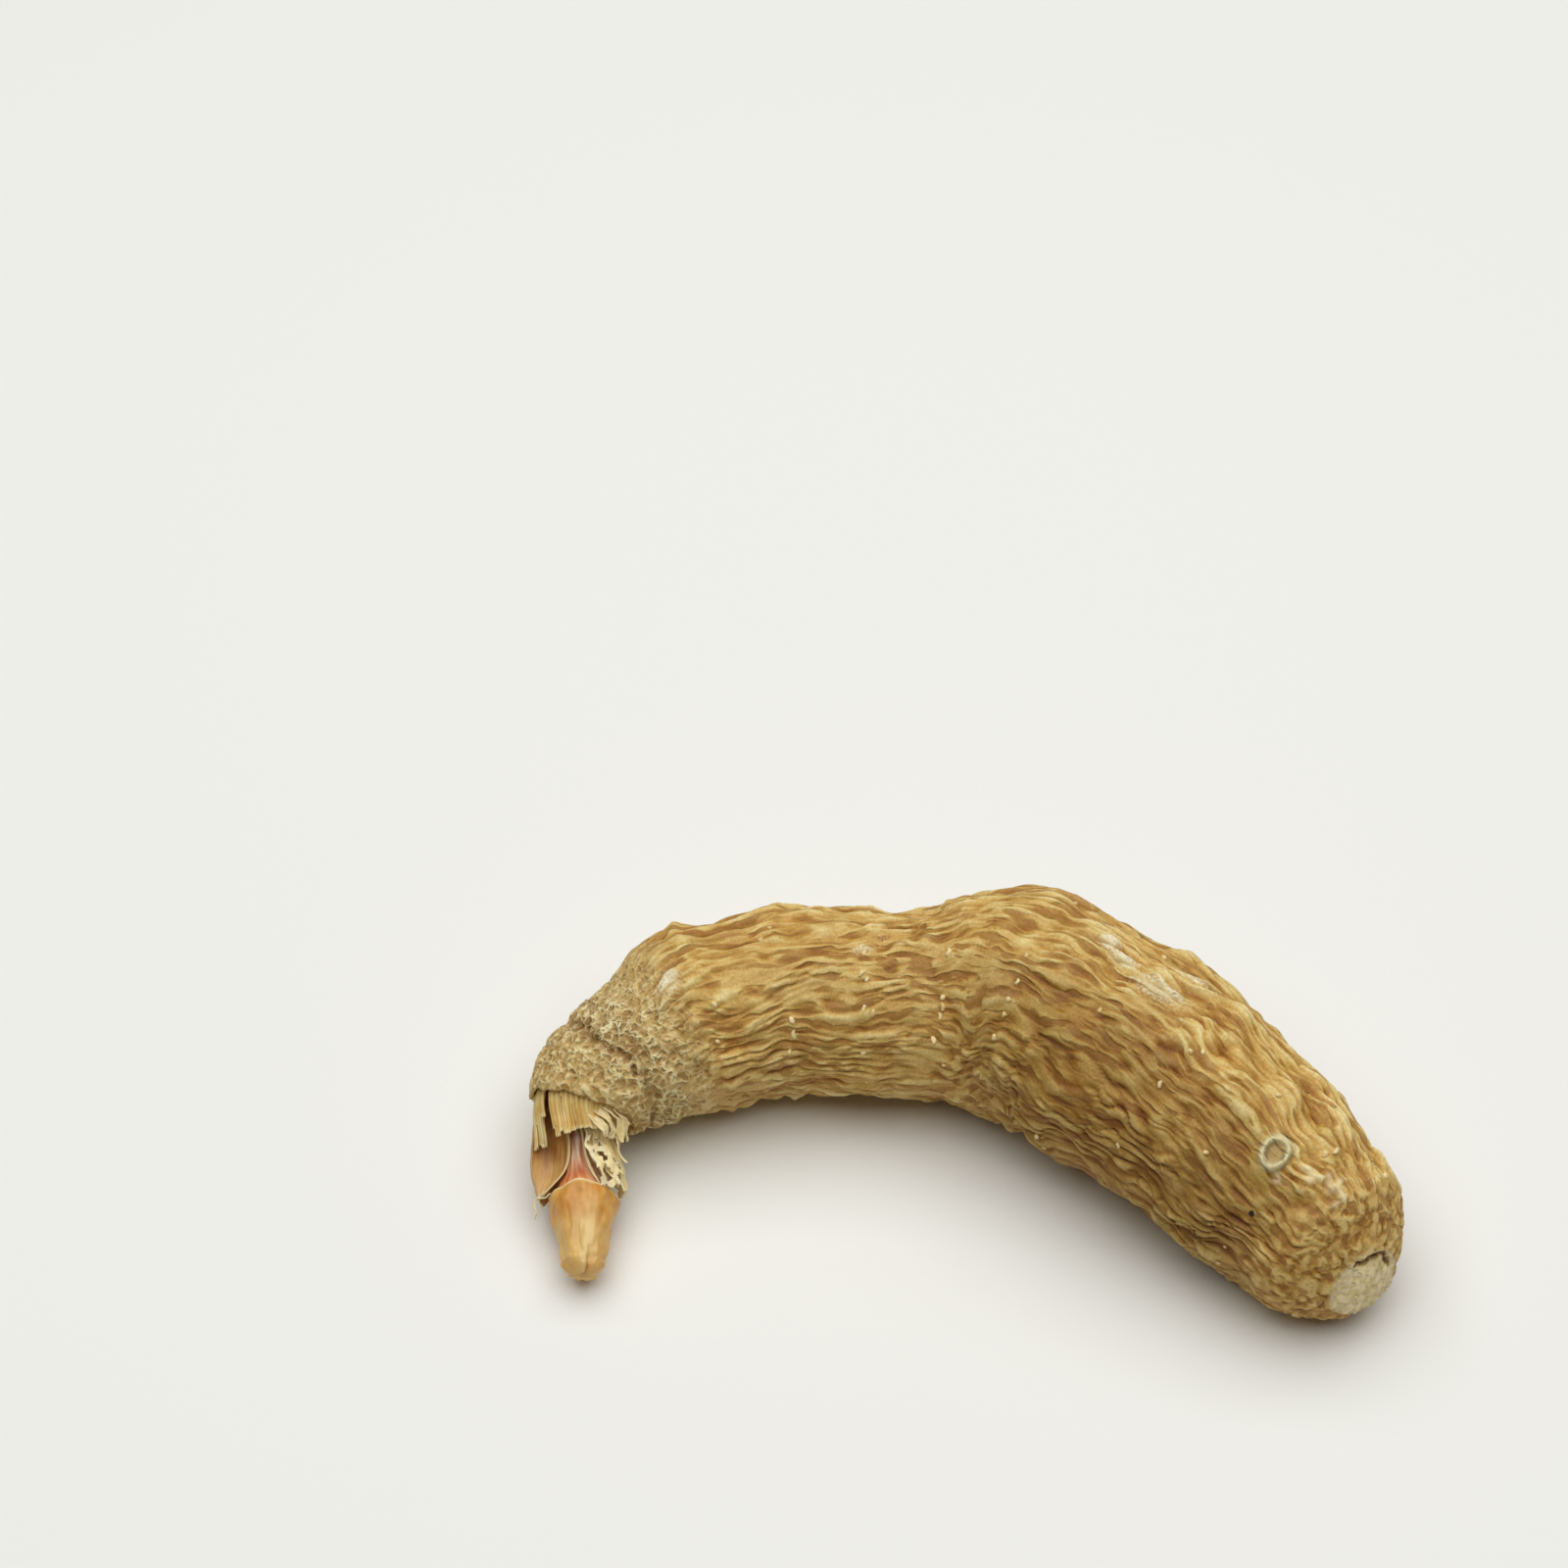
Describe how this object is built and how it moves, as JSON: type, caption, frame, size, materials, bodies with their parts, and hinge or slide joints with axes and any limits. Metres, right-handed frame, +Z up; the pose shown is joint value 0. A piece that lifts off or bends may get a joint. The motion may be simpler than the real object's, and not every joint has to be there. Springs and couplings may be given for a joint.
{
  "type": "dried gastrodia tuber",
  "caption": "Bowed dried tuber with wavy lengthwise wrinkles, ring nodes, a round end scar and a shoot bud in torn dry scale leaves, lying on its side.",
  "frame": {"origin": "middle of the underside of the bounding box, on the surface that the tuber lies on", "axes": "+X from the shoot end to the scarred end, +Y towards the outside of the bow, +Z up"},
  "size_m": [0.1084, 0.0597, 0.0287],
  "materials": {
    "tuber": "matte, dry wrinkled skin",
    "shoot_core": "satin, dry and translucent",
    "shoot_tip": "satin, dry and translucent",
    "scale_collar": "matte, papery",
    "scale_cup": "satin, papery",
    "scale_torn": "matte, papery"
  },
  "bodies": {
    "root": {"tuber": "tuber", "shoot_core": "shoot_core", "shoot_tip": "shoot_tip", "scale_collar": "scale_collar", "scale_cup": "scale_cup", "scale_torn": "scale_torn"}
  },
  "joints": []
}
